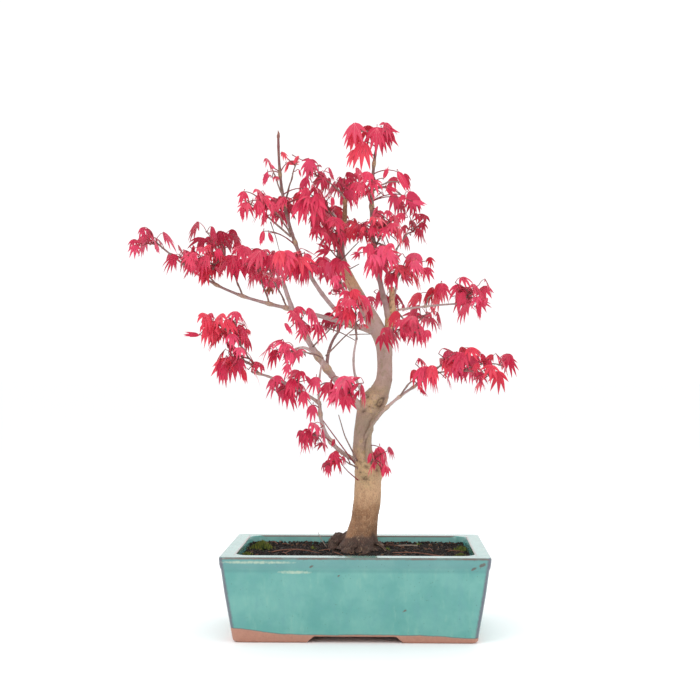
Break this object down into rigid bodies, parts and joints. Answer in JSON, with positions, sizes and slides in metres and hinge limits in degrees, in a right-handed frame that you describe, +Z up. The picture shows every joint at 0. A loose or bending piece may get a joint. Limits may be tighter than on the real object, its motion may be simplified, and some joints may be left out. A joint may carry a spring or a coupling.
{
  "type": "potted bonsai japanese maple",
  "caption": "Bonsai Japanese maple in red leaf, with a leaning knotted trunk, open crown and a rectangular glazed pot on corner feet.",
  "frame": {"origin": "middle of the bounding box, on the plane the pot's feet stand on", "axes": "+Z up along the trunk, +X along the pot's long side towards the crown's right, -Y towards the pot's front"},
  "size_m": [0.4606, 0.2574, 0.5727],
  "materials": {
    "glaze": "glossy blue-green glaze on stoneware, bare brown clay at the feet",
    "soil": "damp dark granular bonsai soil with litter and moss",
    "bark": "smooth to knotted grey-brown bark",
    "leaves": "soft young red leaves, satin"
  },
  "bodies": {
    "root": {"pot": "glaze", "soil": "soil", "trunk": "bark", "left_bough": "bark", "left_leader": "bark", "steep_left_bough": "bark", "inner_upright": "bark", "fork_shoot": "bark", "right_low_bough": "bark", "left_low_bough": "bark", "left_low_arm": "bark", "left_low_upright": "bark", "right_stump": "bark", "right_leader": "bark", "right_riser": "bark", "right_bough": "bark", "back_right_bough": "bark", "back_left_bough": "bark", "back_top_bough": "bark", "back_low_bough": "bark", "mass_top": "leaves", "mass_right_high": "leaves", "mass_right_front": "leaves", "mass_right_back": "leaves", "mass_right_shoulder": "leaves", "mass_right_mid": "leaves", "mass_right_tip": "leaves", "mass_trunk_front": "leaves", "mass_right_low_inner": "leaves", "mass_right_low_tip": "leaves", "mass_right_low_back": "leaves", "mass_trunk_side": "leaves", "mass_trunk_foot": "leaves", "mass_left_shoots": "leaves", "mass_left_low_inner": "leaves", "mass_fork_front": "leaves", "mass_left_low_front": "leaves", "mass_left_low_tip": "leaves", "mass_left_mid": "leaves", "mass_steep_front": "leaves", "mass_inner_back": "leaves", "mass_bend_front": "leaves", "mass_bend_back": "leaves", "mass_back_right": "leaves", "mass_far_left_tip": "leaves", "mass_far_left": "leaves", "mass_left_upper": "leaves", "mass_left_crown": "leaves", "mass_left_back": "leaves", "mass_left_crown_front": "leaves", "mass_leader_side": "leaves", "mass_leader_high": "leaves", "mass_trunk_tip": "leaves", "mass_centre_right": "leaves", "mass_centre_left": "leaves", "mass_centre_row": "leaves", "mass_centre_front": "leaves", "mass_centre_back": "leaves", "mass_back_left": "leaves", "mass_back_top": "leaves"}
  },
  "joints": []
}
